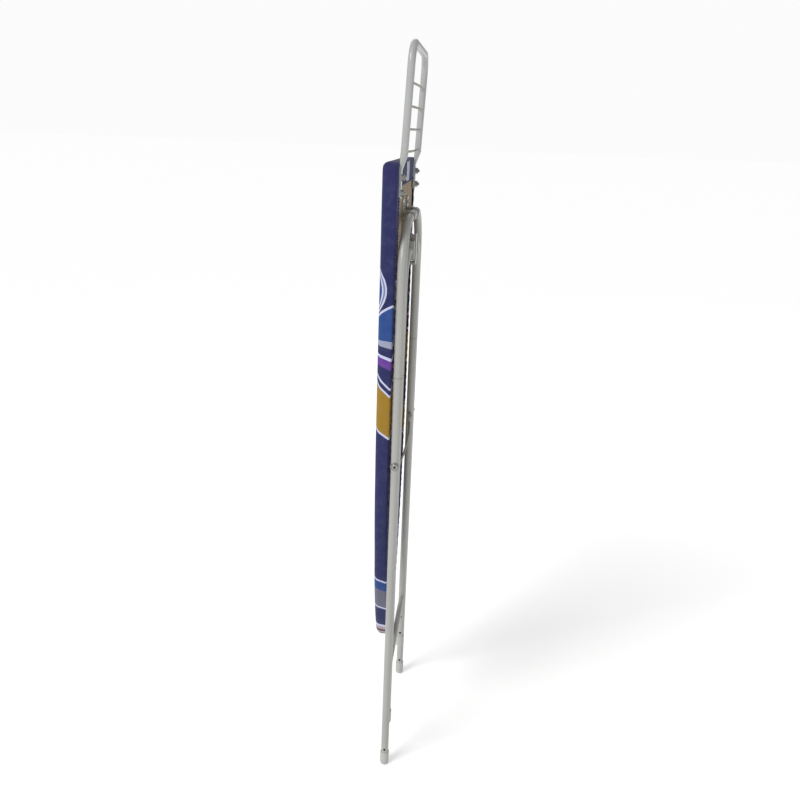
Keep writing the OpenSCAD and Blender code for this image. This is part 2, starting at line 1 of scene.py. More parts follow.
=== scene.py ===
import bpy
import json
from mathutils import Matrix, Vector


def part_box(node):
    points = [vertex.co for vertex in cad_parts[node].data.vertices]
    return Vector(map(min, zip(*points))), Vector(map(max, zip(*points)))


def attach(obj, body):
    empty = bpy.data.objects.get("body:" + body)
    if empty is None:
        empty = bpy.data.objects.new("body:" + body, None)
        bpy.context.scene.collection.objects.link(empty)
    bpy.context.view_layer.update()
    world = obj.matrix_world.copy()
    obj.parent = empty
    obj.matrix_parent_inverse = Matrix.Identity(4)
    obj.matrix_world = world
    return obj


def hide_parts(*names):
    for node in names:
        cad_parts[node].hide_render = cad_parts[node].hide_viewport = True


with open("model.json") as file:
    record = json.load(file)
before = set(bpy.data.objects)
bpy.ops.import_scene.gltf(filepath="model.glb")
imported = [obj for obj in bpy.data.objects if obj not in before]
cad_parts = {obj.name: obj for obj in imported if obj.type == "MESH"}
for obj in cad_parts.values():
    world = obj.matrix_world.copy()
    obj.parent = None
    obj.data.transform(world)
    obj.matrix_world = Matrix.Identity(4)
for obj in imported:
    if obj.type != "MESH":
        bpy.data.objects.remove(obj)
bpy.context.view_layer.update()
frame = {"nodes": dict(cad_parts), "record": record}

# Looks of a folding ironing board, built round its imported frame. All lengths are metres.

import json
import logging
import math
from dataclasses import dataclass
from enum import Enum

import bmesh
import bpy
from mathutils import Matrix, Vector, noise

LOG = logging.getLogger("ironing_board")

Colour = tuple[float, float, float, float]
Triple = tuple[float, float, float]
Pairs = list[tuple[str, str]]
Socket = bpy.types.NodeSocket
Feed = Socket | float | Colour

# Places of a colour Mix node's sockets.
MIX_SHARE, MIX_LOW, MIX_HIGH, MIX_RESULT = 0, 6, 7, 2
# Middle of the roughness that the worn_surface group gives.
WORN_ROUGHNESS = 0.35
# Distance within which the points of a new mesh count as one.
MERGE = 0.00001
# Quarter and full turn.
QUARTER, FULL = math.pi / 2, 2 * math.pi


class Body(Enum):
    """The rigid bodies that pieces ride on."""

    BOARD = "board"
    OUTER_LEG = "outer_leg"
    INNER_LEG = "inner_leg"
    CARRIAGE = "carriage"
    LEVER = "lever"


class Slot(Enum):
    """The record's material slots."""

    COVER = "cover_fabric"
    FOAM = "pad_foam"
    WOOD = "panel_wood"
    REST = "rest_paint"
    LEG = "leg_paint"
    WIRE = "wire_paint"
    CAP = "cap_plastic"
    SHOE = "shoe_plastic"
    LEVER = "lever_paint"
    ZINC = "zinc_steel"


def linear(red: int, green: int, blue: int) -> Colour:
    """Turns a display colour of 0 to 255 into the linear colour a shader takes.

    Args:
        red: Red, 0 to 255.
        green: Green, 0 to 255.
        blue: Blue, 0 to 255.

    Returns:
        The linear colour with full alpha.
    """
    def channel(value: int) -> float:
        """Returns one linear channel."""
        share = value / 255
        return share / 12.92 if share <= 0.04045 else ((share + 0.055) / 1.055) ** 2.4

    return channel(red), channel(green), channel(blue), 1.0


class Graph:
    """Short calls for adding and joining the nodes of one shader tree."""

    def __init__(self, tree: bpy.types.NodeTree) -> None:
        """Keeps the tree that nodes are added to."""
        self.tree = tree

    def add(self, kind: str, **settings: str | bool | bpy.types.NodeTree) -> bpy.types.Node:
        """Adds a node.

        Args:
            kind: The node's type name.
            **settings: Properties to set on it.

        Returns:
            The new node.
        """
        node = self.tree.nodes.new(kind)
        for name, value in settings.items():
            setattr(node, name, value)
        return node

    def feed(self, socket: Socket, value: Feed) -> None:
        """Links a socket to another, or sets its constant."""
        if isinstance(value, Socket):
            self.tree.links.new(value, socket)
        else:
            socket.default_value = value

    def math(self, operation: str, first: Feed, second: Feed = 0.0,
             third: Feed = 0.0) -> Socket:
        """Adds a Math node and returns its output."""
        node = self.add("ShaderNodeMath", operation=operation)
        for socket, value in zip(node.inputs, (first, second, third)):
            self.feed(socket, value)
        return node.outputs[0]

    def mix(self, share: Feed, low: Feed, high: Feed, blend: str = "MIX") -> Socket:
        """Adds a colour Mix node and returns its result."""
        node = self.add("ShaderNodeMix", data_type="RGBA", blend_type=blend)
        self.feed(node.inputs[MIX_SHARE], share)
        self.feed(node.inputs[MIX_LOW], low)
        self.feed(node.inputs[MIX_HIGH], high)
        return node.outputs[MIX_RESULT]

    def noise(self, vector: Socket, scale: Feed, detail: float = 3.0,
              rough: float = 0.55) -> Socket:
        """Adds a Noise texture and returns its value."""
        node = self.add("ShaderNodeTexNoise")
        self.feed(node.inputs["Vector"], vector)
        self.feed(node.inputs["Scale"], scale)
        self.feed(node.inputs["Detail"], detail)
        self.feed(node.inputs["Roughness"], rough)
        return node.outputs[0]

    def stretch(self, vector: Socket, scale: Triple) -> Socket:
        """Adds a Mapping node that scales a vector, and returns the result."""
        node = self.add("ShaderNodeMapping")
        self.feed(node.inputs["Vector"], vector)
        node.inputs["Scale"].default_value = scale
        return node.outputs[0]

    def ramp(self, value: Socket, stops: list[tuple[float, Colour]],
             hard: bool = False) -> Socket:
        """Adds a Color Ramp and returns its colour.

        Args:
            value: The socket that drives the ramp.
            stops: Pairs of position and linear colour, in rising order.
            hard: Whether colours change at once and don't blend.

        Returns:
            The colour output.
        """
        node = self.add("ShaderNodeValToRGB")
        band = node.color_ramp
        band.interpolation = "CONSTANT" if hard else "LINEAR"
        while len(band.elements) < len(stops):
            band.elements.new(1.0)
        for element, (position, colour) in zip(band.elements, stops):
            element.position = position
            element.color = colour
        self.feed(node.inputs[0], value)
        return node.outputs[0]

    def window(self, value: Socket, low: float, high: float) -> Socket:
        """Maps a value from low..high to 0..1, clamped, and returns the result."""
        node = self.add("ShaderNodeMapRange", clamp=True)
        self.feed(node.inputs["Value"], value)
        node.inputs["From Min"].default_value = low
        node.inputs["From Max"].default_value = high
        return node.outputs[0]


class Groups:
    """Node groups that several finishes share, each built once."""

    _made: dict[str, bpy.types.NodeTree] = {}

    @classmethod
    def _start(cls, name: str, inputs: Pairs, outputs: Pairs
               ) -> tuple[Graph, bpy.types.Node, bpy.types.Node]:
        """Makes an empty group.

        Args:
            name: The group's name.
            inputs: Pairs of socket name and socket type.
            outputs: Pairs of socket name and socket type.

        Returns:
            The tree's Graph, its input node and its output node.
        """
        tree = bpy.data.node_groups.new(name, "ShaderNodeTree")
        for title, kind in inputs:
            tree.interface.new_socket(title, in_out="INPUT", socket_type=kind)
        for title, kind in outputs:
            tree.interface.new_socket(title, in_out="OUTPUT", socket_type=kind)
        cls._made[name] = tree
        graph = Graph(tree)
        return graph, graph.add("NodeGroupInput"), graph.add("NodeGroupOutput")

    @classmethod
    def wear(cls) -> bpy.types.NodeTree:
        """Returns the group for worn paint or metal: mottling, grime and small chips."""
        name = "worn_surface"
        if name in cls._made:
            return cls._made[name]
        graph, given, result = cls._start(
            name,
            [("Vector", "NodeSocketVector"), ("Color", "NodeSocketColor"),
             ("Grime", "NodeSocketColor"), ("Scale", "NodeSocketFloat"),
             ("Amount", "NodeSocketFloat")],
            [("Color", "NodeSocketColor"), ("Roughness", "NodeSocketFloat"),
             ("Height", "NodeSocketFloat")])
        blotch_scale, chip_scale = 0.12, 2.3
        mottle_share, grime_share, mottle_height = 0.10, 0.45, 0.35
        base_rough, mottle_rough, grime_rough = 0.26, 0.18, 0.25
        vector, scale = given.outputs["Vector"], given.outputs["Scale"]
        mottle = graph.noise(vector, scale, 4.0)
        blotch = graph.noise(vector, graph.math("MULTIPLY", scale, blotch_scale), 2.0)
        spots = graph.noise(vector, graph.math("MULTIPLY", scale, chip_scale), 2.0)
        grime = graph.math("MULTIPLY", graph.window(blotch, 0.42, 0.75),
                           given.outputs["Amount"])
        fleck = graph.math("MULTIPLY", graph.window(spots, 0.70, 0.76),
                           given.outputs["Amount"])
        tone = graph.mix(graph.math("MULTIPLY", mottle, mottle_share),
                         given.outputs["Color"], given.outputs["Grime"])
        dirty = graph.mix(graph.math("MULTIPLY", grime, grime_share), tone,
                          given.outputs["Grime"])
        clean_rough = graph.math("MULTIPLY_ADD", mottle, mottle_rough, base_rough)
        graph.feed(result.inputs["Color"], graph.mix(fleck, dirty, given.outputs["Grime"]))
        graph.feed(result.inputs["Roughness"],
                   graph.math("MULTIPLY_ADD", grime, grime_rough, clean_rough))
        graph.feed(result.inputs["Height"], graph.math(
            "SUBTRACT", graph.math("MULTIPLY", mottle, mottle_height), fleck))
        return cls._made[name]

    @classmethod
    def weave(cls) -> bpy.types.NodeTree:
        """Returns the group for plain-weave cloth: thread height and a thread mask."""
        name = "plain_weave"
        if name in cls._made:
            return cls._made[name]
        graph, given, result = cls._start(
            name,
            [("Vector", "NodeSocketVector"), ("Threads", "NodeSocketFloat")],
            [("Height", "NodeSocketFloat"), ("Mask", "NodeSocketFloat")])
        fibre_scale, fibre_height = 0.9, 0.4
        vector, threads = given.outputs["Vector"], given.outputs["Threads"]
        split = graph.add("ShaderNodeSeparateXYZ")
        graph.feed(split.inputs[0], vector)
        deep, side, tall = split.outputs
        across = graph.math("SUBTRACT", side, deep)
        waves = [graph.math("SINE", graph.math("MULTIPLY", axis, threads))
                 for axis in (across, tall)]
        weave = graph.math("MULTIPLY", waves[0], waves[1])
        fibre = graph.noise(vector, graph.math("MULTIPLY", threads, fibre_scale), 2.0)
        graph.feed(result.inputs["Height"], graph.math(
            "MULTIPLY_ADD", weave, 0.5, graph.math("MULTIPLY", fibre, fibre_height)))
        graph.feed(result.inputs["Mask"], graph.math("MULTIPLY_ADD", weave, 0.5, 0.5))
        return cls._made[name]


@dataclass(frozen=True)
class Finish:
    """A surface finish; subclasses add what varies over the surface."""

    name: str
    color: Colour
    roughness: float = 0.5
    metallic: float = 0.0
    bump: float = 0.1
    bump_depth: float = 0.0003
    grit_scale: float = 900.0

    def material(self) -> bpy.types.Material:
        """Builds the material.

        Returns:
            A node material for this finish.
        """
        made = bpy.data.materials.new(self.name)
        made.use_nodes = True
        graph = Graph(made.node_tree)
        shader = made.node_tree.nodes["Principled BSDF"]
        shader.inputs["Metallic"].default_value = self.metallic
        shader.inputs["Roughness"].default_value = self.roughness
        shader.inputs["Base Color"].default_value = self.color
        place = graph.add("ShaderNodeTexCoord").outputs["Object"]
        height = self.dress(graph, shader, place)
        bump = graph.add("ShaderNodeBump")
        bump.inputs["Strength"].default_value = self.bump
        bump.inputs["Distance"].default_value = self.bump_depth
        graph.feed(bump.inputs["Height"], height)
        graph.feed(shader.inputs["Normal"], bump.outputs[0])
        return made

    def dress(self, graph: Graph, shader: bpy.types.Node, place: Socket) -> Socket:
        """Adds the pattern and returns the height socket."""
        return graph.noise(place, self.grit_scale)


@dataclass(frozen=True)
class WornFinish(Finish):
    """Paint, plastic or plated metal with mottling, grime and chips."""

    grime: Colour = (0.1, 0.09, 0.08, 1.0)
    scale: float = 160.0
    amount: float = 0.4
    coat: float = 0.0
    grain: Triple = (1.0, 1.0, 0.35)

    def dress(self, graph: Graph, shader: bpy.types.Node, place: Socket) -> Socket:
        """Adds the wear group and returns its height."""
        wear = graph.add("ShaderNodeGroup", node_tree=Groups.wear())
        graph.feed(wear.inputs["Vector"], graph.stretch(place, self.grain))
        wear.inputs["Color"].default_value = self.color
        wear.inputs["Grime"].default_value = self.grime
        wear.inputs["Scale"].default_value = self.scale
        wear.inputs["Amount"].default_value = self.amount
        graph.feed(shader.inputs["Base Color"], wear.outputs["Color"])
        rough = graph.math("ADD", wear.outputs["Roughness"], self.roughness - WORN_ROUGHNESS)
        graph.feed(shader.inputs["Roughness"], rough)
        shader.inputs["Coat Weight"].default_value = self.coat
        return wear.outputs["Height"]


@dataclass(frozen=True)
class BoardFinish(Finish):
    """Raw chipboard: flattened flakes, darker streaks and darker specks."""

    fleck: Colour = (0.3, 0.22, 0.14, 1.0)
    dark: Colour = (0.08, 0.055, 0.035, 1.0)
    flake_scale: float = 420.0
    flake_lie: Triple = (1.0, 1.0, 0.4)
    flake_share: float = 0.6
    streak_scale: float = 90.0
    streak_lie: Triple = (1.0, 1.0, 0.12)
    streak_share: float = 0.5
    speck_scale: float = 520.0

    def dress(self, graph: Graph, shader: bpy.types.Node, place: Socket) -> Socket:
        """Adds flakes and specks and returns the height."""
        cells = graph.add("ShaderNodeTexVoronoi")
        graph.feed(cells.inputs["Vector"], graph.stretch(place, self.flake_lie))
        cells.inputs["Scale"].default_value = self.flake_scale
        flakes = graph.window(cells.outputs["Distance"], 0.1, 0.75)
        tone = graph.mix(graph.math("MULTIPLY", flakes, self.flake_share),
                         self.color, self.fleck)
        streak = graph.noise(graph.stretch(place, self.streak_lie), self.streak_scale, 5.0)
        streaks = graph.math("MULTIPLY", graph.window(streak, 0.35, 0.8), self.streak_share)
        streaked = graph.mix(streaks, tone, self.dark)
        specks = graph.window(graph.noise(place, self.speck_scale, 2.0), 0.66, 0.72)
        graph.feed(shader.inputs["Base Color"], graph.mix(specks, streaked, self.dark))
        return graph.math("ADD", flakes, streak)


@dataclass(frozen=True)
class ClothFinish(Finish):
    """Plain-weave cloth in one colour, with faded threads and a little lint."""

    threads: float = 5200.0
    fade: float = 0.07
    sheen: float = 0.06
    sheen_roughness: float = 0.5
    lint: Colour = linear(150, 152, 170)
    lint_scale: float = 60.0
    thread_shade: tuple[float, float] = (0.20, 0.86)

    def pattern(self, graph: Graph, place: Socket) -> Feed:
        """Returns the colour of the cloth before the weave shades it."""
        return self.color

    def dress(self, graph: Graph, shader: bpy.types.Node, place: Socket) -> Socket:
        """Adds the weave over the pattern and returns its height."""
        weave = graph.add("ShaderNodeGroup", node_tree=Groups.weave())
        graph.feed(weave.inputs["Vector"], place)
        weave.inputs["Threads"].default_value = self.threads
        base = self.pattern(graph, place)
        lint = graph.window(graph.noise(place, self.lint_scale, 5.0), 0.45, 0.8)
        pale = graph.mix(graph.math("MULTIPLY", lint, self.fade), base, self.lint)
        shade = graph.math("MULTIPLY_ADD", weave.outputs["Mask"], *self.thread_shade)
        lit = graph.add("ShaderNodeCombineColor")
        for channel in lit.inputs:
            graph.feed(channel, shade)
        graph.feed(shader.inputs["Base Color"],
                   graph.mix(1.0, pale, lit.outputs[0], "MULTIPLY"))
        shader.inputs["Sheen Weight"].default_value = self.sheen
        shader.inputs["Sheen Roughness"].default_value = self.sheen_roughness
        return weave.outputs["Height"]


NAVY = linear(26, 30, 86)
INK = linear(24, 28, 84)
BLUE = linear(26, 66, 134)
PALE = linear(198, 200, 226)
LILAC = linear(122, 124, 158)
GREY = linear(102, 104, 122)
STONE = linear(150, 157, 178)
PLUM = linear(98, 52, 146)
OCHRE = linear(152, 116, 20)
MAROON = linear(66, 24, 34)
BLUSH = linear(168, 152, 160)


@dataclass(frozen=True)
class PrintFinish(ClothFinish):
    """Printed cotton: slanting colour bands with pale outlines, and a few ringed discs.

    Bands are listed from the nose up, as the height at which each begins and its colour.
    Slants are listed the same way, as how steeply the bands fall away from the edge.
    A disc is its middle across and up, its radius and its colour. A ring is how far inside
    a disc's rim it begins and its colour, which is the disc's own where none is given.
    """

    bands: tuple[tuple[float, Colour], ...] = (
        (0.000, BLUSH), (0.212, MAROON), (0.222, BLUSH), (0.236, MAROON), (0.247, BLUSH),
        (0.262, PALE), (0.270, NAVY), (0.336, PALE), (0.343, GREY), (0.400, BLUE),
        (0.424, PALE), (0.431, NAVY), (0.788, PALE), (0.796, OCHRE), (0.881, PALE),
        (0.887, NAVY), (0.898, PALE), (0.903, NAVY), (0.921, PLUM), (0.936, PALE),
        (0.940, NAVY), (0.959, STONE), (0.967, BLUE), (1.012, PALE), (1.017, INK))
    slants: tuple[tuple[float, float], ...] = (
        (0.00, 0.40), (0.60, 0.40), (0.79, 0.75), (0.895, 1.10), (0.912, 0.45),
        (0.96, 0.20), (1.00, -0.30), (1.015, -0.74), (1.12, 0.0))
    slant_range: float = 1.2
    waves: float = 10.0
    drift_scale: float = 6.0
    drift: float = 0.006
    edge_y: float = -0.15
    face_x: float = -0.0245
    top: float = 1.30
    discs: tuple[tuple[float, float, float, Colour], ...] = (
        (-0.113, 1.058, 0.050, BLUE), (0.060, 1.150, 0.052, PLUM),
        (-0.020, 0.640, 0.055, BLUE), (0.085, 0.720, 0.038, OCHRE),
        (0.030, 0.480, 0.034, PLUM))
    rings: tuple[tuple[float, Colour | None], ...] = (
        (0.0000, PALE), (0.0030, LILAC), (0.0062, PALE), (0.0094, None))

    def _run(self, graph: Graph, deep: Socket, side: Socket) -> Socket:
        """Returns the distance in from the left edge, along the face and down its side."""
        return graph.math("SUBTRACT", graph.math("SUBTRACT", side, self.edge_y),
                          graph.math("SUBTRACT", deep, self.face_x))

    def pattern(self, graph: Graph, place: Socket) -> Socket:
        """Builds the bands and discs and returns the colour."""
        split = graph.add("ShaderNodeSeparateXYZ")
        graph.feed(split.inputs[0], place)
        deep, side, tall = split.outputs
        run = self._run(graph, deep, side)
        share = graph.math("DIVIDE", tall, self.top)
        steepness = [(height / self.top, self._tone(value)) for height, value in self.slants]
        slant = graph.math("MULTIPLY_ADD", graph.ramp(share, steepness),
                           2 * self.slant_range / self.waves, -self.slant_range / self.waves)
        wave = graph.math("SINE", graph.math("MULTIPLY", run, self.waves))
        swing = graph.math("MULTIPLY", wave, slant)
        drift = graph.math("MULTIPLY_ADD", graph.noise(place, self.drift_scale, 1.0),
                           self.drift, -self.drift / 2)
        level = graph.math("ADD", graph.math("SUBTRACT", tall, swing), drift)
        stops = [(height / self.top, colour) for height, colour in self.bands]
        colour = graph.ramp(graph.math("DIVIDE", level, self.top), stops, hard=True)
        for middle_y, middle_z, radius, fill in self.discs:
            step_y = graph.math("SUBTRACT", run, middle_y - self.edge_y)
            away_y = graph.math("POWER", step_y, 2.0)
            away_z = graph.math("POWER", graph.math("SUBTRACT", tall, middle_z), 2.0)
            away = graph.math("SQRT", graph.math("ADD", away_y, away_z))
            for inset, tone in self.rings:
                inside = graph.math("LESS_THAN", away, radius - inset)
                colour = graph.mix(inside, colour, tone or fill)
        return colour

    def _tone(self, value: float) -> Colour:
        """Turns a slant into the grey that stands for it in a ramp."""
        grey = (value + self.slant_range) / (2 * self.slant_range)
        return grey, grey, grey, 1.0


def finishes() -> dict[Slot, bpy.types.Material]:
    """Builds one material for each of the record's slots.

    Returns:
        The material of each slot.
    """
    grime = linear(104, 98, 90)
    plans = {
        Slot.COVER: PrintFinish("printed_cotton", NAVY, 0.82, bump=0.35, bump_depth=0.00025),
        Slot.FOAM: ClothFinish("foam", linear(222, 208, 160), 0.95, threads=2400.0),
        Slot.WOOD: BoardFinish("raw_chipboard", linear(142, 124, 98), 0.75, bump=0.3,
                               fleck=linear(166, 146, 118), dark=linear(98, 82, 62)),
        Slot.REST: WornFinish("rest_paint", linear(174, 176, 175), 0.36, grime=grime,
                              amount=0.30, coat=0.25, bump=0.12),
        Slot.LEG: WornFinish("leg_paint", linear(164, 165, 161), 0.38, grime=grime,
                             amount=0.34, coat=0.2, bump=0.12),
        Slot.WIRE: WornFinish("wire_paint", linear(146, 143, 131), 0.42, grime=grime,
                              amount=0.45, bump=0.15),
        Slot.CAP: WornFinish("cap_plastic", linear(176, 177, 174), 0.5, grime=grime,
                             scale=420.0, amount=0.3, bump=0.2),
        Slot.SHOE: WornFinish("shoe_plastic", linear(160, 160, 156), 0.45, grime=grime,
                              scale=380.0, bump=0.2),
        Slot.LEVER: WornFinish("lever_paint", linear(150, 150, 147), 0.4, grime=grime,
                               amount=0.4, coat=0.2),
        Slot.ZINC: WornFinish("zinc_steel", linear(158, 158, 156), 0.32, 0.85,
                              grime=linear(96, 92, 86), scale=300.0, amount=0.35),
    }
    return {slot: plan.material() for slot, plan in plans.items()}


def piece(name: str, mesh: bmesh.types.BMesh, body: Body,
          material: bpy.types.Material, smooth: bool = True) -> bpy.types.Object:
    """Turns a finished bmesh into a piece that rides on a body.

    Args:
        name: The piece's name.
        mesh: Its mesh, already in place. It is freed.
        body: The body it moves with.
        material: Its material.
        smooth: Whether its faces shade smoothly.

    Returns:
        The new object.
    """
    data = bpy.data.meshes.new(name)
    for face in mesh.faces:
        face.smooth = smooth
    mesh.to_mesh(data)
    mesh.free()
    made = bpy.data.objects.new(name, data)
    bpy.context.scene.collection.objects.link(made)
    data.materials.append(material)
    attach(made, body.value)
    LOG.info("%s: %d faces", name, len(data.polygons))
    return made


def sweep(path: list[Vector], radius: float, sides: int, closed: bool,
          flat: float = 1.0) -> bmesh.types.BMesh:
    """Sweeps a round section along a path in the plane of the board.

    Args:
        path: The centre line.
        radius: The section's radius.
        sides: Points round the section.
        closed: Whether the path ends where it starts.
        flat: How much the section is squashed along X.

    Returns:
        A bmesh of the tube.
    """
    mesh = bmesh.new()
    count = len(path)
    rings = []
    for index, point in enumerate(path):
        ahead = path[(index + 1) % count] if closed or index < count - 1 else point
        back = path[index - 1] if closed or index > 0 else point
        along = (ahead - back).normalized()
        side = along.cross(Vector((1, 0, 0))).normalized()
        place = Matrix.Translation(point) @ Matrix(
            ((flat, side.x, along.x, 0), (0, side.y, along.y, 0),
             (0, side.z, along.z, 0), (0, 0, 0, 1)))
        made = bmesh.ops.create_circle(mesh, segments=sides, radius=radius, matrix=place)
        rings.append(list(dict.fromkeys(
            edge for vert in made["verts"] for edge in vert.link_edges)))
    for near, far in zip(rings, rings[1:] + ([rings[0]] if closed else [])):
        bmesh.ops.bridge_loops(mesh, edges=near + far)
    if not closed:
        bmesh.ops.holes_fill(mesh, edges=mesh.edges, sides=sides)
    bmesh.ops.recalc_face_normals(mesh, faces=mesh.faces)
    return mesh


@dataclass
class Outline:
    """The board's outline: rounded corners, straight edges and a tapering nose.

    The corner and the straight edge end at their shares of the points on a side.
    """

    end_z: float
    nose_z: float
    half: float
    straight: float = 0.370
    corner: float = 0.014
    power: float = 1.95
    corner_share: float = 0.07
    taper_share: float = 0.42

    def half_width(self, share: float, grow: float) -> tuple[float, float]:
        """Gives the outline at a share of the way from the square end to the nose.

        Args:
            share: 0 at the square end, 1 at the nose tip; points crowd at both.
            grow: How far the outline is grown outwards.

        Returns:
            The half width and the height there.
        """
        turn, half = self.corner + grow, self.half + grow
        if share < self.corner_share:
            angle = QUARTER * share / self.corner_share
            drop = turn * (1 - math.cos(angle))
            return half - turn + turn * math.sin(angle), self.end_z + grow - drop
        low = self.end_z - self.straight
        if share < self.taper_share:
            part = (share - self.corner_share) / (self.taper_share - self.corner_share)
            high = self.end_z + grow - turn
            return half, high + (low - high) * part
        angle = QUARTER * (share - self.taper_share) / (1 - self.taper_share)
        reach = math.sin(angle)
        width = half * max(0.0, 1 - reach ** self.power) ** (1 / self.power)
        return width, low - (low - self.nose_z + grow) * reach


@dataclass
class Cover:
    """The padded top: a printed cover drawn over the foam, with a gathered hem."""

    outline: Outline
    face_x: float
    under_x: float
    material: bpy.types.Material
    foam: bpy.types.Material
    grow: float = 0.002
    edge_round: float = 0.0085
    heel_round: float = 0.0035
    hem: float = 0.019
    flap: float = 0.038
    rows: int = 190
    columns: int = 44
    edge_steps: int = 6
    wall_steps: int = 4
    heel_steps: int = 3
    hem_steps: int = 5
    crown: float = 0.0012
    ripple: float = 0.0005
    gather: float = 0.0020
    gather_pitch: float = 0.013
    gather_from: float = 0.6
    cloth_thick: float = 0.0010
    turn_in: float = 0.09
    area_share: float = 0.80
    foam_inset: float = 0.0012
    foam_margin: float = 0.004
    foam_thick: float = 0.0075
    cord_r: float = 0.0016
    stitch_in: float = 0.0145
    stitch_length: float = 0.0032
    stitch_thick: float = 0.0005
    tape_wide: float = 0.046
    tape_aside: float = 0.008
    tape_thick: float = 0.0006

    def _grid(self, grow: float, x: float) -> bmesh.types.BMesh:
        """Makes the face inside an outline, as a grid that closes at the nose."""
        mesh = bmesh.new()
        bmesh.ops.create_grid(mesh, x_segments=self.rows, y_segments=self.columns, size=1.0)
        for vert in mesh.verts:
            width, height = self.outline.half_width((vert.co.x + 1) / 2, grow)
            vert.co = Vector((x, width * vert.co.y, height))
        bmesh.ops.remove_doubles(mesh, verts=mesh.verts, dist=5 * MERGE)
        return mesh

    def _profile(self) -> list[tuple[float, float]]:
        """Gives the section from the face round to the hem, as outward step and x."""
        points = []
        for index in range(1, self.edge_steps + 1):
            angle = QUARTER * index / self.edge_steps
            points.append((self.edge_round * math.sin(angle),
                           self.face_x + self.edge_round * (1 - math.cos(angle))))
        heel_x = self.under_x + self.grow - self.heel_round
        wall = (heel_x - self.face_x - self.edge_round) / self.wall_steps
        points += [(self.edge_round, self.face_x + self.edge_round + wall * step)
                   for step in range(1, self.wall_steps + 1)]
        for index in range(1, self.heel_steps + 1):
            angle = QUARTER * index / self.heel_steps
            points.append((self.edge_round - self.heel_round * (1 - math.cos(angle)),
                           heel_x + self.heel_round * math.sin(angle)))
        return points

    def _wrinkle(self, vert: bmesh.types.BMVert, outward: Vector, hemward: float,
                 around: float) -> None:
        """Moves a point of the edge for the fabric's small folds.

        Args:
            vert: The point.
            outward: The way out from the board there, in its plane.
            hemward: 0 at the face, 1 at the hem.
            around: Distance along the edge.
        """
        drawn_in, pucker = -0.0006, 0.0009
        soft = noise.noise(vert.co * 26.0) * 0.5 + noise.noise(vert.co * 70.0) * 0.25
        vert.co += outward * (drawn_in + pucker * soft) * min(1.0, hemward * 3)
        fold = math.sin(FULL * around / self.gather_pitch
                        + 3 * noise.noise(vert.co * 14.0))
        depth = self.gather * max(0.0, hemward - self.gather_from) / (1 - self.gather_from)
        vert.co.x += depth * fold * 0.5

    def cloth(self) -> bpy.types.Object:
        """Builds the cover as one curved sheet from the face round to the hem.

        Returns:
            The cover, which stands for its CAD solid.
        """
        start = self.grow - self.edge_round
        mesh = self._grid(start, self.face_x)
        rim = [edge for edge in mesh.edges if edge.is_boundary]
        loop = self._ordered(rim)
        base = [vert.co.copy() for vert in loop]
        normals = self._normals(base)
        lengths = [0.0]
        for index in range(1, len(base)):
            lengths.append(lengths[-1] + (base[index] - base[index - 1]).length)
        profile = self._profile()
        previous = rim
        flap_z = self.outline.end_z - self.flap
        total = len(profile) + self.hem_steps
        for step in range(total):
            grown = bmesh.ops.extrude_edge_only(mesh, edges=previous)
            fresh = [item for item in grown["geom"] if isinstance(item, bmesh.types.BMVert)]
            previous = [item for item in grown["geom"]
                        if isinstance(item, bmesh.types.BMEdge) and item.is_boundary
                        and item.verts[0] in fresh and item.verts[1] in fresh]
            pairs = self._match(fresh, loop)
            for order, vert in pairs:
                outward = normals[order]
                if step < len(profile):
                    out, x = profile[step]
                    vert.co = base[order] + outward * out
                    vert.co.x = x
                else:
                    share = (step - len(profile) + 1) / self.hem_steps
                    heel = base[order] + outward * (self.edge_round - self.heel_round)
                    inner = base[order] + outward * (self.edge_round - self.hem)
                    inner.z = min(inner.z, flap_z)
                    vert.co = heel.lerp(inner, share)
                    vert.co.x = self.under_x + self.grow
                self._wrinkle(vert, outward, (step + 1) / total, lengths[order])
            loop = [vert for _, vert in sorted(pairs, key=lambda pair: pair[0])]
        self._pad_out(mesh)
        bmesh.ops.recalc_face_normals(mesh, faces=mesh.faces)
        made = piece("cover_cloth", mesh, Body.BOARD, self.material)
        self._thicken(made, self.cloth_thick, -1.0)
        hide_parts("cover")
        return made

    @staticmethod
    def _thicken(sheet: bpy.types.Object, thick: float, offset: float) -> None:
        """Gives a sheet the thickness of its cloth."""
        wall = sheet.modifiers.new("cloth", "SOLIDIFY")
        wall.thickness = thick
        wall.offset = offset

    def _pad_out(self, mesh: bmesh.types.BMesh) -> None:
        """Raises the middle of the face and lays shallow ripples over it."""
        face_depth, least_width = 0.0005, 0.001
        for vert in mesh.verts:
            if vert.co.x > self.face_x + face_depth:
                continue
            width, _ = self._width_at(vert.co.z)
            edge = max(0.0, 1 - abs(vert.co.y) / max(width, least_width))
            lift = self.crown * min(1.0, edge * 4) ** 0.5
            place = Vector((0, vert.co.y * 16, vert.co.z * 7))
            vert.co.x -= lift + self.ripple * noise.noise(place)

    def _width_at(self, height: float) -> tuple[float, float]:
        """Finds the outline's half width at a height, by halving."""
        low, high, rounds = 0.0, 1.0, 18
        for _ in range(rounds):
            middle = (low + high) / 2
            if self.outline.half_width(middle, self.grow)[1] > height:
                low = middle
            else:
                high = middle
        return self.outline.half_width(low, self.grow)

    @staticmethod
    def _ordered(edges: list[bmesh.types.BMEdge]) -> list[bmesh.types.BMVert]:
        """Puts the points of a closed boundary in order."""
        start = edges[0].verts[0]
        members = set(edges)
        loop, here, came = [start], start, None
        while True:
            step = next(edge for edge in here.link_edges if edge in members and edge != came)
            here, came = step.other_vert(here), step
            if here == start:
                return loop
            loop.append(here)

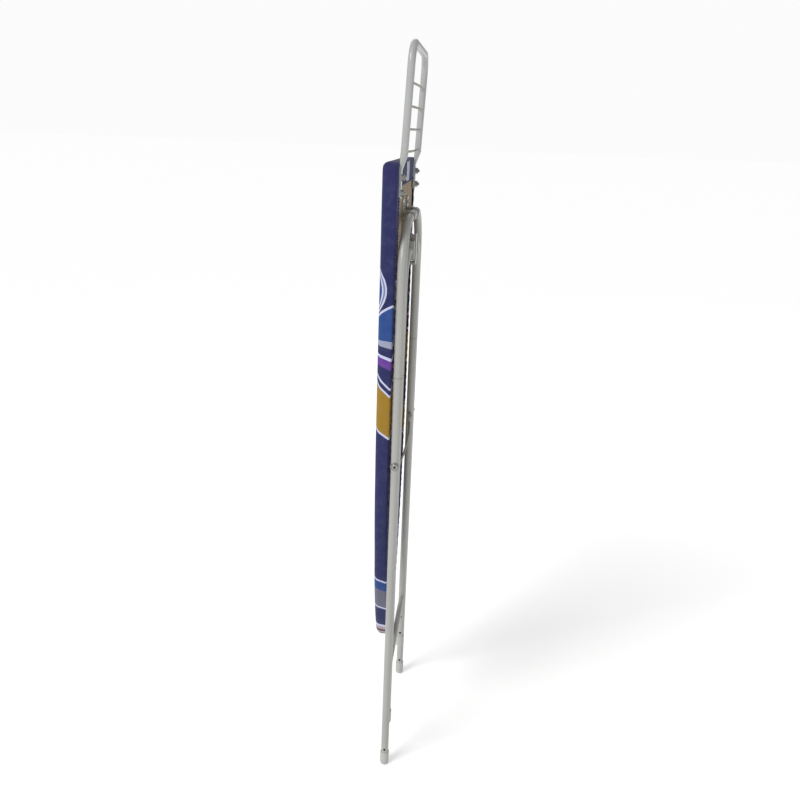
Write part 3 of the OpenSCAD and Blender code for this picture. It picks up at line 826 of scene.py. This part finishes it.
    @staticmethod
    def _normals(base: list[Vector]) -> list[Vector]:
        """Gives the outward direction at each point of a closed loop."""
        middle = sum(base, Vector()) / len(base)
        result = []
        count = len(base)
        for index in range(count):
            along = (base[(index + 1) % count] - base[index - 1]).normalized()
            result.append(Vector((0, along.z, -along.y)))
        inwards = sum(1 for point, normal in zip(base, result)
                      if (point - middle).dot(normal) < 0)
        return [-normal for normal in result] if inwards > count / 2 else result

    @staticmethod
    def _match(fresh: list[bmesh.types.BMVert],
               loop: list[bmesh.types.BMVert]) -> list[tuple[int, bmesh.types.BMVert]]:
        """Pairs each new point with the order of the point it was extruded from."""
        order = {vert: index for index, vert in enumerate(loop)}
        pairs = []
        for vert in fresh:
            parent = next(edge.other_vert(vert) for edge in vert.link_edges
                          if edge.other_vert(vert) in order)
            pairs.append((order[parent], vert))
        return pairs

    def foam_core(self) -> bpy.types.Object:
        """Builds the foam slab under the cover."""
        mesh = self._grid(-self.foam_margin, self.face_x + 2 * self.foam_inset)
        grown = bmesh.ops.extrude_face_region(mesh, geom=list(mesh.faces))
        verts = [item for item in grown["geom"] if isinstance(item, bmesh.types.BMVert)]
        bmesh.ops.translate(mesh, verts=verts, vec=(self.foam_thick, 0, 0))
        bmesh.ops.recalc_face_normals(mesh, faces=mesh.faces)
        made = piece("foam_core", mesh, Body.BOARD, self.foam)
        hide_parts("foam_pad")
        return made

    def hem_path(self, inward: float, count: int = 360) -> list[Vector]:
        """Gives a closed line on the underside at a distance in from the edge.

        Args:
            inward: The distance in from the edge.
            count: Points taken on each side, before those too close together are dropped.

        Returns:
            The line's points, in order.
        """
        least_step, flap_step = 0.004, 0.006
        side = []
        for index in range(count):
            width, height = self.outline.half_width(index / (count - 1), self.grow - inward)
            side.append((width, min(height, self.outline.end_z - self.flap)))
        x = self.under_x + self.grow
        right = [Vector((x, width, height)) for width, height in side]
        left = [Vector((x, -width, height)) for width, height in reversed(side)]
        path = [right[0]]
        for point in right[1:] + left:
            if (point - path[-1]).length > least_step:
                path.append(point)
        return path + self._split(path[-1], path[0], flap_step)

    @staticmethod
    def _split(start: Vector, end: Vector, pitch: float) -> list[Vector]:
        """Gives the points between two, at about a pitch."""
        count = int((end - start).length / pitch)
        return [start.lerp(end, step / count) for step in range(1, count)]

    def hem_cord(self) -> bpy.types.Object:
        """Builds the rolled edge of the hem, with its drawstring inside."""
        bulge, lift = 0.0004, 0.0005
        path = self.hem_path(self.hem)
        for index, point in enumerate(path):
            point.x += bulge * math.sin(index * 1.9) + lift
        mesh = sweep(path, self.cord_r, 8, True)
        return piece("hem_cord", mesh, Body.BOARD, self.material)

    def stitches(self) -> bpy.types.Object:
        """Builds the row of stitches that holds the drawstring's channel."""
        path = self.hem_path(self.stitch_in)
        mesh = bmesh.new()
        length, thick = self.stitch_length, self.stitch_thick
        lift = Vector((0.0007, 0, 0))
        for index, point in enumerate(path):
            ahead = path[(index + 1) % len(path)]
            along = (ahead - point).normalized()
            side = along.cross(Vector((1, 0, 0)))
            middle = point + lift
            place = Matrix.Translation(middle) @ Matrix(
                ((thick, side.x * thick, along.x * length, 0),
                 (0, side.y * thick, along.y * length, 0),
                 (0, side.z * thick, along.z * length, 0), (0, 0, 0, 1)))
            bmesh.ops.create_cube(mesh, size=1.0, matrix=place)
        bmesh.ops.recalc_face_normals(mesh, faces=mesh.faces)
        thread = ClothFinish("thread", linear(150, 150, 176), 0.7).material()
        return piece("hem_stitches", mesh, Body.BOARD, thread, False)

    def flap_tape(self) -> bpy.types.Object:
        """Builds the plain pale tape sewn across the flap under the square end."""
        lift, ripple = 0.0008, 0.0003
        mesh = bmesh.new()
        bmesh.ops.create_grid(mesh, x_segments=10, y_segments=8, size=0.5)
        top = self.outline.end_z + self.grow - self.heel_round
        low = self.outline.end_z - self.flap + 0.001
        for vert in mesh.verts:
            height = low + (top - low) * (vert.co.x + 0.5)
            across = vert.co.y * self.tape_wide
            wave = ripple * noise.noise(Vector((across * 60, height * 60, 0)))
            vert.co = Vector((self.under_x + self.grow + lift + wave,
                              across + self.tape_aside, height))
        bmesh.ops.recalc_face_normals(mesh, faces=mesh.faces)
        tape = ClothFinish("tape", linear(172, 176, 192), 0.8).material()
        made = piece("flap_tape", mesh, Body.BOARD, tape)
        self._thicken(made, self.tape_thick, 0.0)
        return made

    def build(self) -> None:
        """Builds every piece of the padded top."""
        self.foam_core()
        self.cloth()
        self.hem_cord()
        self.stitches()
        self.flap_tape()


@dataclass
class LegTrim:
    """Small marks on the leg frames and the rest: seams drawn as lines of painted shadow, bolt
    recesses and peg holes filled with painted shade, and welds.
    """

    materials: dict[Slot, bpy.types.Material]
    seam_r: float = 0.0004
    recess_r: float = 0.0024
    recess_depth: float = 0.0003
    washer_r: float = 0.0078
    washer_thick: float = 0.0009
    bore_shade_r: float = 0.00275
    bore_shade_up: float = 0.043
    second_bore_shade_up: float = 0.091
    bore_shade_sunk: float = 0.0003
    bead_r: float = 0.0034
    bead_flat: float = 0.55
    bead_lumps: float = 0.18

    def __post_init__(self) -> None:
        """Makes the two dark finishes that the marks share: painted shadow for the seams, and
        painted shade for the bolt recesses and the bores of the peg holes.
        """
        self.shadow = WornFinish("seam_shadow", linear(88, 85, 80), 0.7, bump=0.05).material()
        # Near-black painted shade for the insides of the bolt recesses and the peg holes.
        self.dark = WornFinish("painted_hollow_shade", linear(9, 9, 9), 0.75, bump=0.1,
                               grime=linear(22, 21, 20)).material()
        shader = self.dark.node_tree.nodes["Principled BSDF"]
        shader.inputs["Specular IOR Level"].default_value = 0.1

    def seam(self, name: str, arch: str, tube: str, body: Body) -> bpy.types.Object:
        """Builds the dark line where a lower tube enters its arch.

        Args:
            name: The piece's name.
            arch: The arch's CAD node.
            tube: The lower tube's CAD node.
            body: The body it rides on.

        Returns:
            The line.
        """
        low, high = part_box(tube)
        middle = (low + high) / 2
        mesh = self._ring((high.x - low.x) / 2, self.seam_r)
        bmesh.ops.translate(mesh, verts=mesh.verts,
                            vec=(middle.x, middle.y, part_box(arch)[0].z))
        return piece(name, mesh, body, self.shadow)

    @staticmethod
    def _ring(radius: float, thick: float) -> bmesh.types.BMesh:
        """Makes a closed ring round the Z axis."""
        mesh = bmesh.new()
        place = Matrix.Translation((radius, 0, 0)) @ Matrix.Rotation(QUARTER, 4, "X")
        bmesh.ops.create_circle(mesh, segments=12, radius=thick, matrix=place)
        bmesh.ops.spin(mesh, geom=list(mesh.verts) + list(mesh.edges), axis=(0, 0, 1),
                       cent=(0, 0, 0), angle=FULL, steps=48, use_merge=True)
        bmesh.ops.remove_doubles(mesh, verts=mesh.verts, dist=MERGE)
        bmesh.ops.recalc_face_normals(mesh, faces=mesh.faces)
        return mesh

    def pivot_marks(self) -> None:
        """Builds the washer round each scissor bolt's head, and the head's recess as a thin
        dark hexagon of painted shade.
        """
        washer_sunk, recess_sunk, recess_edge = 0.0002, 0.00005, 0.00008
        low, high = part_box("outer_pivot_bolts")
        centre = (low + high) / 2
        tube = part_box("outer_tube_right")[1].y
        turn = Matrix.Rotation(QUARTER, 4, "X")
        for side, word in ((-1, "left"), (1, "right")):
            washer = self._ring(self.washer_r, self.washer_thick)
            place = Matrix.Translation((centre.x, side * (tube - washer_sunk), centre.z))
            bmesh.ops.transform(washer, verts=washer.verts, matrix=place @ turn)
            piece(f"pivot_washer_{word}", washer, Body.OUTER_LEG,
                  self.materials[Slot.ZINC])
            # The recess is a thin near-black hexagon of painted shade laid into the head.
            recess = bmesh.new()
            place = Matrix.Translation((centre.x, side * (high.y - recess_sunk), centre.z))
            bmesh.ops.create_cone(recess, cap_ends=True, segments=6, radius1=self.recess_r,
                                  radius2=self.recess_r, depth=self.recess_depth,
                                  matrix=place @ turn)
            bmesh.ops.bevel(recess, geom=list(recess.edges), offset=recess_edge, segments=1,
                            affect="EDGES", profile=0.5, material=-1)
            piece(f"pivot_recess_shade_{word}", recess, Body.OUTER_LEG, self.dark, False)

    def bore_shades(self) -> None:
        """Builds the dark discs sunk in the peg holes near the feet, painted shade that stands
        for the dark inside of the empty tube.
        """
        turn = Matrix.Rotation(QUARTER, 4, "X")
        for frame_name, body in (("outer", Body.OUTER_LEG), ("inner", Body.INNER_LEG)):
            for word in ("left", "right"):
                low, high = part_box(f"{frame_name}_tube_{word}")
                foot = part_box(f"{frame_name}_foot_{word}")[0].z
                ups = [self.bore_shade_up]
                if (frame_name, word) == ("inner", "right"):
                    ups.append(self.second_bore_shade_up)
                mesh = bmesh.new()
                for up in ups:
                    place = Matrix.Translation(
                        ((low.x + high.x) / 2, (low.y + high.y) / 2, foot + up))
                    bmesh.ops.create_cone(mesh, cap_ends=True, segments=24,
                                          radius1=self.bore_shade_r, radius2=self.bore_shade_r,
                                          depth=high.x - low.x - 2 * self.bore_shade_sunk,
                                          matrix=place @ turn)
                bmesh.ops.recalc_face_normals(mesh, faces=mesh.faces)
                piece(f"{frame_name}_peg_hole_shades_{word}", mesh, body, self.dark)

    def beads(self) -> bpy.types.Object:
        """Builds the weld beads where the cross wires meet the rest's rails."""
        deep, inward, wires = 0.0021, 0.0008, (1, 2, 3, 4)
        mesh = bmesh.new()
        for number in wires:
            low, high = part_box(f"rest_wire_{number}")
            for y in (low.y, high.y):
                bead = bmesh.ops.create_icosphere(mesh, subdivisions=2, radius=self.bead_r)
                place = Vector((low.x + deep, y - math.copysign(inward, y),
                                (low.z + high.z) / 2))
                for vert in bead["verts"]:
                    lumps = 1 + self.bead_lumps * noise.noise((vert.co + place) * 500)
                    flat = Vector((vert.co.x, vert.co.y * self.bead_flat, vert.co.z))
                    vert.co = place + flat * lumps
        bmesh.ops.recalc_face_normals(mesh, faces=mesh.faces)
        return piece("rest_weld_beads", mesh, Body.BOARD,
                     self.materials[Slot.REST])

    def build(self) -> None:
        """Builds all the trim."""
        for side in ("left", "right"):
            self.seam(f"outer_seam_{side}", "outer_arch", f"outer_tube_{side}", Body.OUTER_LEG)
            self.seam(f"inner_seam_{side}", "inner_arch", f"inner_tube_{side}", Body.INNER_LEG)
        self.pivot_marks()
        self.bore_shades()
        self.beads()


def dress_nodes(materials: dict[Slot, bpy.types.Material]) -> None:
    """Gives each CAD node the material of its slot.

    Args:
        materials: The material of each slot.
    """
    slots = {row["node"]: row["material_slot"] for row in frame["record"]["subparts"]}
    for name, node in frame["nodes"].items():
        node.data.materials.clear()
        node.data.materials.append(materials[Slot(slots[name])])


@dataclass
class Studio:
    """A pale floor, soft lights and the camera.

    The camera stands in front of the board's left edge, a little to the legs' side. A soft
    box is its name, its place, its size and its power in watts.
    """

    yaw: float = math.radians(5.67)
    pitch: float = math.radians(20.08)
    roll: float = math.radians(2.18)
    eye_height: float = 1.3224
    distance: float = 1.2672
    aside: float = 0.0045
    lens: float = 33.23
    sensor: float = 36.0
    ambient: float = 0.42
    backdrop: float = 0.97
    floor_glow: float = 0.27
    sun_power: float = 1.9
    sun_spread: float = math.radians(28)
    sun_toward: Triple = (0.75, 0.75, -0.80)
    soft_boxes: tuple[tuple[str, Triple, float, float], ...] = (
        ("fill", (1.8, -2.4, 1.6), 1.8, 9.0), ("rim", (-0.6, 2.6, 2.8), 1.8, 14.0))
    soft_target: Triple = (0.0, 0.0, 0.8)
    floor_size: float = 60.0
    floor_colour: Colour = (0.93, 0.93, 0.93, 1.0)

    def camera(self) -> None:
        """Places the camera."""
        low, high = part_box("outer_tube_left")
        along = Vector((-math.sin(self.yaw), math.cos(self.yaw), 0))
        right = Vector((math.cos(self.yaw), math.sin(self.yaw), 0))
        target = Vector(((low.x + high.x) / 2, (low.y + high.y) / 2, 0)) + right * self.aside
        eye = target - along * self.distance
        eye.z = self.eye_height
        ahead = along * math.cos(self.pitch) - Vector((0, 0, math.sin(self.pitch)))
        up = right.cross(ahead)
        tilt = Matrix.Rotation(-self.roll, 3, ahead)
        up, right = tilt @ up, tilt @ right
        data = bpy.data.cameras.new("camera")
        data.lens, data.sensor_width = self.lens, self.sensor
        data.clip_start, data.clip_end = 0.01, 100.0
        made = bpy.data.objects.new("camera", data)
        made.matrix_world = Matrix(
            ((right.x, up.x, -ahead.x, eye.x), (right.y, up.y, -ahead.y, eye.y),
             (right.z, up.z, -ahead.z, eye.z), (0, 0, 0, 1)))
        bpy.context.scene.collection.objects.link(made)
        bpy.context.scene.camera = made

    def floor(self) -> None:
        """Lays a large pale floor under the feet."""
        mesh = bmesh.new()
        bmesh.ops.create_grid(mesh, x_segments=2, y_segments=2, size=self.floor_size)
        data = bpy.data.meshes.new("floor")
        mesh.to_mesh(data)
        mesh.free()
        made = bpy.data.objects.new("floor", data)
        bpy.context.scene.collection.objects.link(made)
        paper = Finish("floor_paper", self.floor_colour, 0.95, bump=0.02).material()
        shader = paper.node_tree.nodes["Principled BSDF"]
        shader.inputs["Emission Color"].default_value = (1, 1, 1, 1)
        shader.inputs["Emission Strength"].default_value = self.floor_glow
        data.materials.append(paper)

    def lights(self) -> None:
        """Hangs the soft lights and sets the even surroundings."""
        world = bpy.data.worlds.new("studio")
        bpy.context.scene.world = world
        bpy.context.scene.view_settings.view_transform = "Standard"
        world.use_nodes = True
        graph = Graph(world.node_tree)
        rays = graph.add("ShaderNodeLightPath")
        strength = graph.math("MULTIPLY_ADD", rays.outputs["Is Camera Ray"],
                              self.backdrop - self.ambient, self.ambient)
        backdrop = world.node_tree.nodes["Background"]
        backdrop.inputs[0].default_value = (1, 1, 1, 1)
        graph.feed(backdrop.inputs[1], strength)
        sun = bpy.data.lights.new("key", "SUN")
        sun.energy, sun.angle = self.sun_power, self.sun_spread
        made = bpy.data.objects.new("key", sun)
        made.rotation_euler = Vector(self.sun_toward).to_track_quat("-Z", "Y").to_euler()
        bpy.context.scene.collection.objects.link(made)
        for name, place, size, watts in self.soft_boxes:
            data = bpy.data.lights.new(name, "AREA")
            data.size, data.energy = size, watts
            made = bpy.data.objects.new(name, data)
            made.location = place
            toward = Vector(self.soft_target) - Vector(place)
            made.rotation_euler = toward.to_track_quat("-Z", "Y").to_euler()
            bpy.context.scene.collection.objects.link(made)

    def build(self) -> None:
        """Builds the studio."""
        self.camera()
        self.floor()
        self.lights()


def main() -> None:
    """Builds the studio and every piece, in order."""
    logging.basicConfig(level=logging.INFO, format="%(name)s %(message)s")
    Studio().build()
    materials = finishes()
    dress_nodes(materials)
    panel_low, panel_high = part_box("board_panel")
    cover_low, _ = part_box("cover")
    outline = Outline(end_z=panel_high.z, nose_z=panel_low.z, half=panel_high.y)
    Cover(outline, cover_low.x, panel_high.x, materials[Slot.COVER],
          materials[Slot.FOAM]).build()
    LegTrim(materials).build()


if __name__ == "__main__":
    main()
